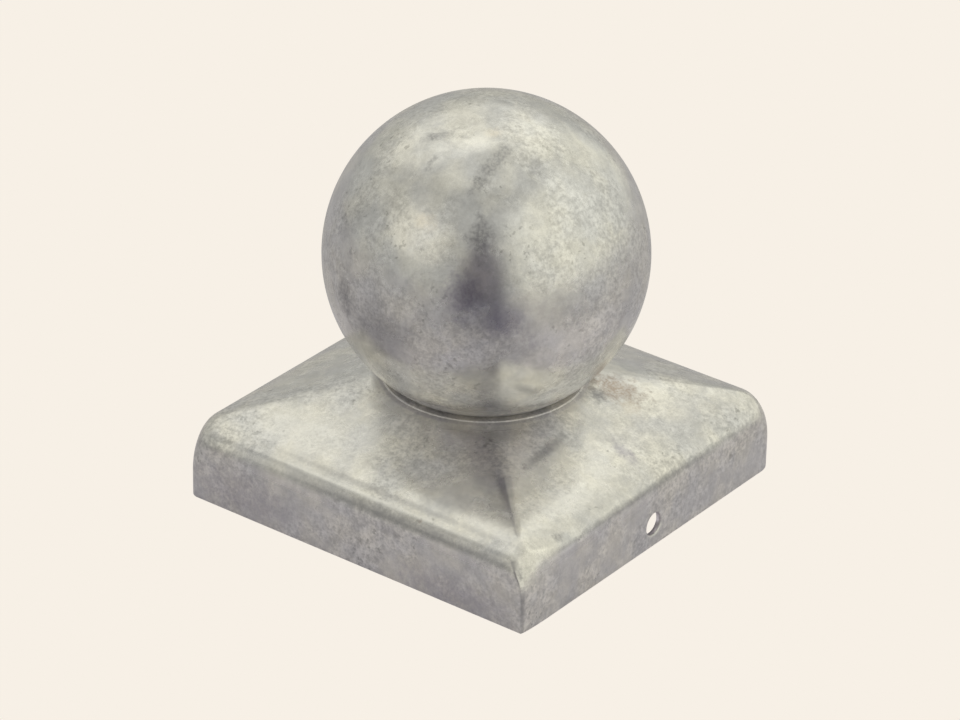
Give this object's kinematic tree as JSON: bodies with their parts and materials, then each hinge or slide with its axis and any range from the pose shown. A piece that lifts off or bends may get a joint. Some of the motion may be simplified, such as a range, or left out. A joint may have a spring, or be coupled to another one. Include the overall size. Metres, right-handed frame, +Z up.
{
  "type": "ball post cap",
  "caption": "Square pressed-steel post cap with a low hipped roof, a hollow ball seated in a round collar, and nail holes in opposite skirt faces.",
  "frame": {"origin": "centre of the square in which the skirt's lower rim lies", "axes": "+Z up through the ball's centre; +X and -X point out of the two skirt faces that have a nail hole"},
  "size_m": [0.105, 0.105, 0.1025],
  "materials": {
    "galvanised_cap": "hot-dip galvanised sheet steel: satin zinc with fine mottling, grey at the skirt and brighter on the roof",
    "galvanised_ball": "hot-dip galvanised sheet steel: smoother, glossier zinc with crystal streaks and soft dark stains"
  },
  "bodies": {
    "root": {"cap": "galvanised_cap", "ball": "galvanised_ball"}
  },
  "joints": []
}
